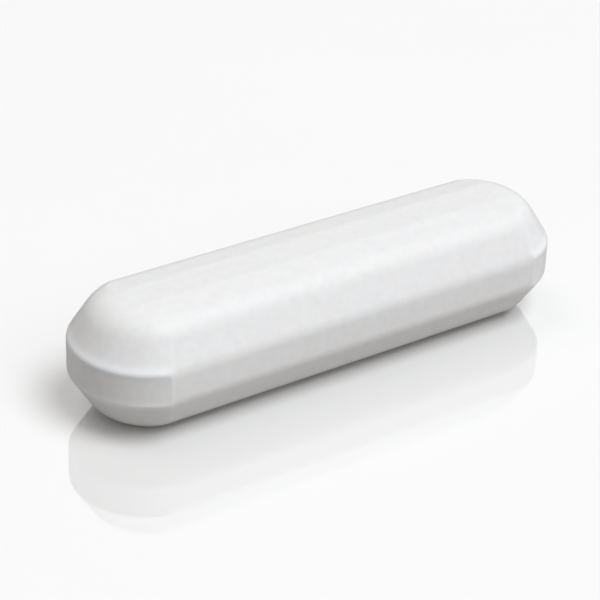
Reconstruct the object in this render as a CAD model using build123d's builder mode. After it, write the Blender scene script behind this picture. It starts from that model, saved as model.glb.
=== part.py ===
from build123d import *

import math
import os

# Magnetic stir bar: a rod magnet sealed inside one moulded PTFE jacket.
# Frame: X along the bar, Y across it, +Z up. The origin is under the middle of
# the bar, on the surface that it lies on. All sizes are millimetres.

# ---- overall size of the jacket ---------------------------------------------
bar_length = 38.1  # tip to tip
bar_width = 10.5  # across the two upright side lands
bar_height = 8.6  # over the two crown flats

# ---- faceted section --------------------------------------------------------
land_height = 2.3  # upright band left between the two mould punches
wall_tilt = 30.0  # lean of the side walls, in degrees from upright
crown_drop = 0.45  # fall from the crown flat to the shoulders
crown_flat = 2.4  # width of the flat along the top and the underside
land_round = 1.6  # rounding of the land's two edges along the bar
shoulder_round = 2.0  # rounding of the shoulders along the bar
crown_round = 1.0  # rounding where the crown flat begins

# ---- noses ------------------------------------------------------------------
nose_length = 4.0  # how far each nose reaches past the straight facets
nose_wall_tilt = 32.0  # lean of the wall round a nose, in degrees from upright
nose_crown_drop = 0.25  # fall from the crown flat to the shoulder round a nose
nose_crown_rise = 0.25  # height over the flat that the nose's crown cone would peak at
nose_shoulder_round = 2.6  # softer shoulder round the noses
rim_round = 0.4  # rounding of the land's two edges round a nose, left crisp by the punch

# ---- magnet -----------------------------------------------------------------
jacket_wall = 1.2  # PTFE over and under the magnet
end_cover = 4.05  # PTFE beyond each end of the magnet
magnet_chamfer = 0.5  # broken edges of the cast rod

# ---- worked out from the sizes above ----------------------------------------
half_width = bar_width / 2
half_height = bar_height / 2
half_land = land_height / 2
half_flat = crown_flat / 2

# The land runs round each nose as an arc through the two ends of the straight
# lands and the tip. Its radius is a little more than half the width, so the
# nose meets the straight facets at a shallow angle, in a visible crease.
nose_radius = (half_width**2 + nose_length**2) / (2 * nose_length)
nose_centre = bar_length / 2 - nose_radius

magnet_diameter = bar_height - 2 * jacket_wall
magnet_length = bar_length - 2 * end_cover

# Free space between the facets and the block that stands round the bar's middle.
block_clearance = 1.0

# The plane across the bar's axis, which lies half a height above the surface.
across_bar = Plane(origin=(0, 0, half_height), x_dir=(0, 1, 0), z_dir=(1, 0, 0))


# Corners of the upper half of each section, from the middle of the crown down to
# the land, as (distance out, height over the middle).
shoulder_height = half_height - crown_drop
wall_run = (shoulder_height - half_land) * math.tan(math.radians(wall_tilt))
facet_corners = [
    (0, half_height),
    (half_flat, half_height),
    (half_width - wall_run, shoulder_height),
    (half_width, half_land),
]
facet_rounds = [crown_round, shoulder_round, land_round]

# Round a nose the crown is a shallow cone, which the crown flat cuts off level.
nose_peak = half_height + nose_crown_rise
nose_shoulder_height = half_height - nose_crown_drop
nose_wall_run = (nose_shoulder_height - half_land) * math.tan(math.radians(nose_wall_tilt))
nose_corners = [
    (0, nose_peak),
    (nose_radius - nose_wall_run, nose_shoulder_height),
    (nose_radius, half_land),
]
nose_rounds = [nose_shoulder_round, rim_round]


def half_section(corners, rounds):
    """Draw one side of a section from its upper corners. The lower half mirrors the upper."""
    lower = [(out, -up) for out, up in reversed(corners)]
    return FilletPolyline(*corners, *lower, radius=rounds + rounds[::-1])


# ---- magnet core: a cast rod with broken edges ------------------------------
with BuildPart() as magnet_core:
    with BuildSketch(across_bar.offset(-magnet_length / 2)):
        Circle(magnet_diameter / 2)
    extrude(amount=magnet_length)
    chamfer(magnet_core.edges().filter_by(GeomType.CIRCLE), length=magnet_chamfer)

# ---- nose envelope: what the mould leaves of the bar at its two ends --------
# Each nose is the half section turned about an upright axis. The block between
# them is clear of the facets, so it leaves the middle of the bar uncut.
with BuildPart() as nose_envelope:
    for centre in (nose_centre, -nose_centre):
        upright = Plane(origin=(centre, 0, half_height), x_dir=(1, 0, 0), z_dir=(0, -1, 0))
        with BuildSketch(upright):
            with BuildLine():
                half_section(nose_corners, nose_rounds)
                Line((0, -nose_peak), (0, nose_peak))
            make_face()
        revolve(axis=Axis((centre, 0, 0), (0, 0, 1)))
    with Locations((0, 0, half_height)):
        Box(
            2 * nose_centre,
            bar_width + 2 * block_clearance,
            bar_height + 2 * block_clearance,
        )

# ---- PTFE jacket: one moulding all round the magnet -------------------------
with BuildPart() as ptfe_jacket:
    with BuildSketch(across_bar.offset(-bar_length / 2)):
        with BuildLine():
            half_section(facet_corners, facet_rounds)
            mirror(about=Plane.YZ)
        make_face()
    extrude(amount=bar_length)
    add(nose_envelope.part, mode=Mode.INTERSECT)
    add(magnet_core.part, mode=Mode.SUBTRACT)

ptfe_jacket.part.label = "ptfe_jacket"
magnet_core.part.label = "magnet_core"

os.makedirs("parts", exist_ok=True)
export_step(ptfe_jacket.part, "parts/ptfe_jacket.step")
export_step(magnet_core.part, "parts/magnet_core.step")

print("nose radius", round(nose_radius, 3), "centre at", round(nose_centre, 3))
print("magnet", round(magnet_diameter, 3), "x", round(magnet_length, 3))
for piece in (ptfe_jacket.part, magnet_core.part):
    box = piece.bounding_box()
    print(piece.label, len(piece.solids()), "solid", round(piece.volume, 2), "mm3", box.size)
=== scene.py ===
# %% [markdown]
# # Magnetic stir bar: looks for a moulded part
# A magnetic stir bar is a rod magnet sealed in a white PTFE jacket. It lies in a beaker,
# and a turning magnet under the beaker spins it. The shapes come ready from the packed
# CAD model. This notebook gives the two pieces their materials and lights them on a
# glossy white table. Lengths are metres, +X runs along the bar and +Z is up.

# %% Load the frame
import math

import bpy
from mathutils import Matrix, Vector


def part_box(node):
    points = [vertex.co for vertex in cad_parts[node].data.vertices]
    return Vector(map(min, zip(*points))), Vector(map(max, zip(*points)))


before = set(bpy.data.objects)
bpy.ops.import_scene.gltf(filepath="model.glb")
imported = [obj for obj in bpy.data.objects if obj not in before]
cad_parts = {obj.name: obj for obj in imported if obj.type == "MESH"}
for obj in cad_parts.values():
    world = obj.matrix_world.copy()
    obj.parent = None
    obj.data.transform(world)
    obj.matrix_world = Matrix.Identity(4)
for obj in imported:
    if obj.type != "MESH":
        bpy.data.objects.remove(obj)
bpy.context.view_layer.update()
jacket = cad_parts["ptfe_jacket"]
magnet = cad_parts["magnet_core"]
bar_low, bar_high = (Vector(corner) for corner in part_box("ptfe_jacket"))
bar_size = bar_high - bar_low
belt_height = bar_low.z + bar_size.z / 2
millimetre = 0.001
print("bar", [round(side / millimetre, 2) for side in bar_size], "mm")

# %% [markdown]
# ## Helpers for node materials
# A material is a small graph of nodes. `add` makes a node and sets its values, `join`
# links an output to an input, and `new_group` opens a reusable group with named
# inputs and outputs, so that one effect can be shared by several materials.

# %% Node helpers
def add(tree, kind, settings=None, **sockets):
    """Make a node. Settings are its own properties, and sockets are input values."""
    node = tree.nodes.new(kind)
    for name, value in (settings or {}).items():
        setattr(node, name, value)
    for name, value in sockets.items():
        node.inputs[name.replace("_", " ")].default_value = value
    return node


def join(tree, start, end):
    tree.links.new(start, end)


def math_node(tree, operation, first, second=None):
    """Make a Math node from numbers or sockets, and give its output."""
    node = add(tree, "ShaderNodeMath", {"operation": operation})
    for socket, value in zip(node.inputs, (first, second)):
        if isinstance(value, (int, float)):
            socket.default_value = value
        elif value is not None:
            join(tree, value, socket)
    return node.outputs["Value"]


def blend_colours(tree, amount, first, second):
    """Blend two colours, given as values or sockets, and give the blended one."""
    node = add(tree, "ShaderNodeMix", {"data_type": "RGBA"})
    factor = next(socket for socket in node.inputs if socket.type == "VALUE" and socket.enabled)
    colours = [socket for socket in node.inputs if socket.type == "RGBA"]
    for socket, value in zip((factor, *colours), (amount, first, second)):
        if isinstance(value, bpy.types.NodeSocket):
            join(tree, value, socket)
        else:
            socket.default_value = value
    return next(socket for socket in node.outputs if socket.type == "RGBA")


def new_group(name, inputs, outputs):
    tree = bpy.data.node_groups.new(name, "ShaderNodeTree")
    for label, kind, value in inputs:
        socket = tree.interface.new_socket(label, in_out="INPUT", socket_type=kind)
        socket.default_value = value
    for label, kind in outputs:
        tree.interface.new_socket(label, in_out="OUTPUT", socket_type=kind)
    return tree, tree.nodes.new("NodeGroupInput"), tree.nodes.new("NodeGroupOutput")


def new_material(name):
    material = bpy.data.materials.new(name)
    material.use_nodes = True
    material.node_tree.nodes.clear()
    return material, material.node_tree


def finish_material(tree, shader):
    output = add(tree, "ShaderNodeOutputMaterial")
    join(tree, shader.outputs["BSDF"], output.inputs["Surface"])


def wear(piece, material):
    """Put one material on a piece, in place of what it came with."""
    piece.data.materials.clear()
    piece.data.materials.append(material)
    print(piece.name, "wears", material.name)


print("node helpers ready")

# %% [markdown]
# ## Cloudy tone
# Pressed and sintered powder is never one flat colour. Where grains fused a little
# better it is clearer, so the tone wanders between two close colours over a few tenths
# of a millimetre. The group mixes the two by a soft noise, and hands the same noise on,
# so that roughness can drift with it. The jacket, the magnet and the table all use it,
# each at its own scale.

# %% Cloudy tone group
cloudy_tone, given, handed = new_group(
    "cloudy tone",
    [
        ("Light tone", "NodeSocketColor", (1, 1, 1, 1)),
        ("Dark tone", "NodeSocketColor", (0.9, 0.9, 0.9, 1)),
        ("Scale", "NodeSocketFloat", 300),
    ],
    [("Colour", "NodeSocketColor"), ("Cloud", "NodeSocketFloat")],
)
place = add(cloudy_tone, "ShaderNodeTexCoord")
noise = add(cloudy_tone, "ShaderNodeTexNoise", Detail=5.0, Roughness=0.6)
cloud = add(cloudy_tone, "ShaderNodeMapRange", From_Min=0.3, From_Max=0.7)
join(cloudy_tone, place.outputs["Object"], noise.inputs["Vector"])
join(cloudy_tone, given.outputs["Scale"], noise.inputs["Scale"])
join(cloudy_tone, noise.outputs["Fac"], cloud.inputs["Value"])
light_tone, dark_tone = given.outputs["Light tone"], given.outputs["Dark tone"]
blended = blend_colours(cloudy_tone, cloud.outputs["Result"], light_tone, dark_tone)
join(cloudy_tone, blended, handed.inputs["Colour"])
join(cloudy_tone, cloud.outputs["Result"], handed.inputs["Cloud"])
print("group", cloudy_tone.name)

# %% [markdown]
# ## Fine grain
# A moulded skin looks smooth but breaks up a highlight, as a blasted and polished mould
# could leave it. This group is that skin: two sizes of shallow noise, as a height. A
# stretch above one squeezes the grain along that axis, so that a high value along the
# bar leaves fine lines across it, as grinding does.

# %% Fine grain group
fine_grain, given, handed = new_group(
    "fine grain",
    [("Scale", "NodeSocketFloat", 2500), ("Stretch", "NodeSocketVector", (1, 1, 1))],
    [("Height", "NodeSocketFloat")],
)
place = add(fine_grain, "ShaderNodeTexCoord")
drawn = add(fine_grain, "ShaderNodeVectorMath", {"operation": "MULTIPLY"})
coarse = add(fine_grain, "ShaderNodeTexNoise", Detail=3.0)
speckle = add(fine_grain, "ShaderNodeTexNoise", Detail=1.0)
join(fine_grain, place.outputs["Object"], drawn.inputs[0])
join(fine_grain, given.outputs["Stretch"], drawn.inputs[1])
for layer, finer_by in ((coarse, 1.0), (speckle, 3.5)):
    layer_scale = math_node(fine_grain, "MULTIPLY", given.outputs["Scale"], finer_by)
    join(fine_grain, drawn.outputs["Vector"], layer.inputs["Vector"])
    join(fine_grain, layer_scale, layer.inputs["Scale"])
speckle_share = 0.3
fine = math_node(fine_grain, "MULTIPLY", speckle.outputs["Fac"], speckle_share)
height = math_node(fine_grain, "ADD", coarse.outputs["Fac"], fine)
join(fine_grain, height, handed.inputs["Height"])
print("group", fine_grain.name)

# %% [markdown]
# ## Raised line
# Round the noses a thin light bead runs along the edges of the upright land. The jacket
# could be pressed between two punches inside a die, and the narrow rim of a punch would
# print such a bead. A finer line stands on the land where the flat facets run into the
# noses. Their heights are guessed. They are bump and no geometry: a solid with a rim did
# not close. Their lighter, cooler colour is a painted highlight. The group makes one soft
# hump at a set distance on both sides of zero.

# %% Raised line group
raised_line, given, handed = new_group(
    "raised line",
    [
        ("Position", "NodeSocketFloat", 0.0),
        ("Distance", "NodeSocketFloat", 1.3 * millimetre),
        ("Width", "NodeSocketFloat", 0.25 * millimetre),
    ],
    [("Height", "NodeSocketFloat")],
)
off_middle = math_node(raised_line, "ABSOLUTE", given.outputs["Position"])
off_line = math_node(raised_line, "SUBTRACT", off_middle, given.outputs["Distance"])
widths_off = math_node(raised_line, "DIVIDE", off_line, given.outputs["Width"])
squared = math_node(raised_line, "MULTIPLY", widths_off, widths_off)
hump = math_node(raised_line, "EXPONENT", math_node(raised_line, "MULTIPLY", squared, -1.0))
join(raised_line, hump, handed.inputs["Height"])
print("group", raised_line.name)

# %% [markdown]
# ## PTFE jacket
# PTFE is a white, waxy plastic. Light goes a little way into it and comes out again, so
# its shadows are soft and edges look lit from inside: that is the subsurface part, with
# a reach of under a millimetre that is longest for red. Its surface reflects weakly
# and broadly. Greying it at a glancing angle is painted shade, for the dimmer light on
# faces turned away, and tinting the beads cooler and lighter is a painted highlight.
# Both are choices of look and stand for no known property. The bevel node rounds what
# little edge the solid leaves at the creases.

# %% PTFE material
ptfe, tree = new_material("ptfe")
tone = add(tree, "ShaderNodeGroup", {"node_tree": cloudy_tone}, Scale=1500)
tone.inputs["Light tone"].default_value = (0.873, 0.879, 0.893, 1)
tone.inputs["Dark tone"].default_value = (0.838, 0.835, 0.834, 1)
grain = add(tree, "ShaderNodeGroup", {"node_tree": fine_grain}, Scale=2600)

nose_start = 15.0 * millimetre
land_half_height = 1.15 * millimetre
low_line_strength = 0.14
# Painted highlight colour for the bead and the finer crease line.
painted_bead_highlight = (0.915, 0.93, 0.97, 1)
# Painted shade colour, for faces seen at a glancing angle.
painted_edge_shade = (0.5, 0.495, 0.49, 1)
use_line = {"node_tree": raised_line}
use_smooth = {"interpolation_type": "SMOOTHSTEP"}
place = add(tree, "ShaderNodeTexCoord")
axes = add(tree, "ShaderNodeSeparateXYZ")
rim = add(tree, "ShaderNodeGroup", use_line, Distance=1.28 * millimetre, Width=0.3 * millimetre)
nose_line = add(tree, "ShaderNodeGroup", use_line, Distance=nose_start, Width=0.14 * millimetre)
fade = add(tree, "ShaderNodeMapRange", use_smooth, From_Min=0.0144, From_Max=0.0158)
join(tree, place.outputs["Object"], axes.inputs["Vector"])
above_belt = math_node(tree, "SUBTRACT", axes.outputs["Z"], belt_height)
off_belt = math_node(tree, "ABSOLUTE", above_belt)
join(tree, off_belt, rim.inputs["Position"])
join(tree, axes.outputs["X"], nose_line.inputs["Position"])
join(tree, math_node(tree, "ABSOLUTE", axes.outputs["X"]), fade.inputs["Value"])
bead = math_node(tree, "MULTIPLY", rim.outputs["Height"], fade.outputs["Result"])
on_land = math_node(tree, "LESS_THAN", off_belt, land_half_height)
line_strength = math_node(tree, "MULTIPLY", on_land, low_line_strength)
low_line = math_node(tree, "MULTIPLY", nose_line.outputs["Height"], line_strength)
# This mask drives both the bump of the lines and the painted highlight in the colour.
lines = math_node(tree, "MAXIMUM", bead, low_line)

# Painted shade: the colour greys where the surface is seen at a glancing angle, as faces turned
# away get less light.
glance = add(tree, "ShaderNodeLayerWeight", Blend=0.5)
painted_shade_amount = add(tree, "ShaderNodeMapRange", From_Min=0.66, From_Max=1.0, To_Max=0.5)
join(tree, glance.outputs["Facing"], painted_shade_amount.inputs["Value"])
# Painted highlight: the colour goes cooler and lighter on the bead and the crease line.
tone_with_painted_highlight = blend_colours(tree, lines, tone.outputs["Colour"], painted_bead_highlight)
tone_with_painted_light = blend_colours(tree, painted_shade_amount.outputs["Result"], tone_with_painted_highlight, painted_edge_shade)

edges = add(tree, "ShaderNodeBevel", Radius=0.25 * millimetre)
line_bump = add(tree, "ShaderNodeBump", Strength=1.0, Distance=0.06 * millimetre)
skin_bump = add(tree, "ShaderNodeBump", Strength=0.25, Distance=0.01 * millimetre)
shine = add(tree, "ShaderNodeMapRange", To_Min=0.46, To_Max=0.56)
skin = add(tree, "ShaderNodeBsdfPrincipled", IOR=1.38)
skin.inputs["Subsurface Weight"].default_value = 0.25
skin.inputs["Subsurface Radius"].default_value = (1.0, 0.88, 0.72)
skin.inputs["Subsurface Scale"].default_value = 0.5 * millimetre
join(tree, edges.outputs["Normal"], line_bump.inputs["Normal"])
join(tree, lines, line_bump.inputs["Height"])
join(tree, line_bump.outputs["Normal"], skin_bump.inputs["Normal"])
join(tree, grain.outputs["Height"], skin_bump.inputs["Height"])
join(tree, skin_bump.outputs["Normal"], skin.inputs["Normal"])
join(tree, tone.outputs["Cloud"], shine.inputs["Value"])
join(tree, shine.outputs["Result"], skin.inputs["Roughness"])
join(tree, tone_with_painted_light, skin.inputs["Base Color"])
finish_material(tree, skin)
wear(jacket, ptfe)

# %% [markdown]
# ## Magnet core
# The magnet can't be seen, so its looks are a guess, but a reader who hides the jacket
# should find one there. Cast AlNiCo is a blotchy grey, and a rod that is ground round
# gets fine lines across its length, and is semi-bright rather than a mirror.

# %% Magnet material
alnico, tree = new_material("alnico")
tone = add(tree, "ShaderNodeGroup", {"node_tree": cloudy_tone}, Scale=900)
tone.inputs["Light tone"].default_value = (0.38, 0.37, 0.355, 1)
tone.inputs["Dark tone"].default_value = (0.27, 0.26, 0.25, 1)
grain = add(tree, "ShaderNodeGroup", {"node_tree": fine_grain}, Scale=900)
grain.inputs["Stretch"].default_value = (9, 1, 1)
skin_bump = add(tree, "ShaderNodeBump", Strength=0.5, Distance=0.02 * millimetre)
shine = add(tree, "ShaderNodeMapRange", To_Min=0.35, To_Max=0.6)
skin = add(tree, "ShaderNodeBsdfPrincipled", Metallic=0.9)
join(tree, grain.outputs["Height"], skin_bump.inputs["Height"])
join(tree, skin_bump.outputs["Normal"], skin.inputs["Normal"])
join(tree, tone.outputs["Cloud"], shine.inputs["Value"])
join(tree, shine.outputs["Result"], skin.inputs["Roughness"])
join(tree, tone.outputs["Colour"], skin.inputs["Base Color"])
finish_material(tree, skin)
wear(magnet, alnico)

# %% [markdown]
# ## Table
# The bar lies on a sheet of white acrylic: a matt white body under a clear skin that
# mirrors weakly. The sheet isn't part of the object. The eye
# and the mirror see it white, while the light that it throws back on the bar is dimmer
# and a little warmer. That isn't physical: it keeps the underside from going pale.

# %% Table top
half_side = 1.5
signs = ((-1, -1), (1, -1), (1, 1), (-1, 1))
corners = [(x * half_side, y * half_side, 0) for x, y in signs]
sheet = bpy.data.meshes.new("table_top")
sheet.from_pydata(corners, [], [(0, 1, 2, 3)])
table = bpy.data.objects.new("table_top", sheet)
bpy.context.scene.collection.objects.link(table)
acrylic, tree = new_material("white acrylic")
tone = add(tree, "ShaderNodeGroup", {"node_tree": cloudy_tone}, Scale=40)
tone.inputs["Light tone"].default_value = (0.97, 0.972, 0.975, 1)
tone.inputs["Dark tone"].default_value = (0.962, 0.964, 0.967, 1)
path = add(tree, "ShaderNodeLightPath")
thrown_back = (0.222, 0.205, 0.184, 1)
mirror_loss = 0.22
bouncing = path.outputs["Is Diffuse Ray"]
body = blend_colours(tree, bouncing, tone.outputs["Colour"], thrown_back)
skin_bounce = math_node(tree, "MULTIPLY", bouncing, mirror_loss)
skin_kept = math_node(tree, "SUBTRACT", 1.0, skin_bounce)
skin = add(tree, "ShaderNodeBsdfPrincipled", Roughness=1.0)
skin.inputs["Specular IOR Level"].default_value = 0.0
skin.inputs["Coat Roughness"].default_value = 0.05
skin.inputs["Coat IOR"].default_value = 2.8
join(tree, skin_kept, skin.inputs["Coat Weight"])
join(tree, body, skin.inputs["Base Color"])
finish_material(tree, skin)
wear(table, acrylic)

# %% [markdown]
# ## Room light
# A white room is one even light from all round. What the camera and the table's mirror
# see of it is plain white, and what lights the bar is weaker, so that the lamps below
# still give the facets their different tones. That difference isn't physical either.

# %% Room light
room = bpy.data.worlds.new("white room")
bpy.context.scene.world = room
room.use_nodes = True
tree = room.node_tree
tree.nodes.clear()
path = add(tree, "ShaderNodeLightPath")
seen = math_node(tree, "MAXIMUM", path.outputs["Is Camera Ray"], path.outputs["Is Glossy Ray"])
lighting = add(tree, "ShaderNodeBackground", Color=(1, 0.995, 0.985, 1), Strength=0.27)
backdrop = add(tree, "ShaderNodeBackground", Color=(1, 1, 1, 1), Strength=1.0)
blend = add(tree, "ShaderNodeMixShader")
output = add(tree, "ShaderNodeOutputWorld")
join(tree, seen, blend.inputs["Fac"])
join(tree, lighting.outputs["Background"], blend.inputs[1])
join(tree, backdrop.outputs["Background"], blend.inputs[2])
join(tree, blend.outputs["Shader"], output.inputs["Surface"])
print("room light ready")

# %% [markdown]
# ## Camera
# A long lens, a little above the bar and off to one side of its middle, so that the
# near nose, the upper facets and the land all show. The camera leans by two degrees.

# %% Camera
half_width = bar_size.y / 2
heading = math.radians(35.78)
elevation = math.radians(29.47)
lean = math.radians(2.19)
distance = 28.78 * half_width
right = Vector((math.cos(heading), -math.sin(heading), 0))
ahead = Vector((math.sin(heading), math.cos(heading), 0))
upright = Vector((0, 0, 1))
look = ahead * math.cos(elevation) - upright * math.sin(elevation)
above = ahead * math.sin(elevation) + upright * math.cos(elevation)
aim = upright * belt_height - (right * 0.2264 + above * 0.0571) * half_width
camera_right = right * math.cos(lean) + above * math.sin(lean)
camera_up = above * math.cos(lean) - right * math.sin(lean)
turned = Matrix((camera_right, camera_up, -look)).transposed().to_4x4()
lens = bpy.data.cameras.new("studio_camera")
lens.sensor_width = 36
lens.lens = 130.95
camera = bpy.data.objects.new("studio_camera", lens)
camera.matrix_world = Matrix.Translation(aim - look * distance) @ turned
bpy.context.scene.collection.objects.link(camera)
bpy.context.scene.camera = camera
print("camera", round(distance, 3), "m away with a", lens.lens, "mm lens")

# %% [markdown]
# ## Lamps
# Three round softboxes, far off and large, so that their light is even over the bar and
# their shadows are soft. The key stands high at the front and to the right, and makes
# the crown bright and the land a step darker. A lower front lamp lifts the walls, and a
# weak, warmer one at the back left lifts the left nose.

# %% Softboxes
lamp_width = 1.6
lamp_distance = 2.5


def softbox(name, bearing, height, watts, colour):
    """Hang a round lamp aimed at the bar. Bearing 0 is the camera's side, 90 its right."""
    turn, rise = math.radians(bearing), math.radians(height)
    level = right * math.sin(turn) - ahead * math.cos(turn)
    towards = level * math.cos(rise) + upright * math.sin(rise)
    light = bpy.data.lights.new(name, "AREA")
    light.shape = "DISK"
    light.size = lamp_width
    light.energy = watts
    light.color = colour
    lamp = bpy.data.objects.new(name, light)
    lamp.location = towards * lamp_distance
    lamp.rotation_euler = towards.to_track_quat("Z", "Y").to_euler()
    bpy.context.scene.collection.objects.link(lamp)
    print(name, watts, "W")


softbox("key_softbox", 60, 65, 39, (0.965, 0.98, 1.0))
softbox("front_softbox", 45, 40, 10, (1.0, 1.0, 1.0))
softbox("warm_softbox", 240, 65, 7.5, (1.0, 0.93, 0.82))

# %% [markdown]
# ## Colour
# Colours are shown as they are, with no film look.

# %% Finish
bpy.context.scene.view_settings.view_transform = "Standard"
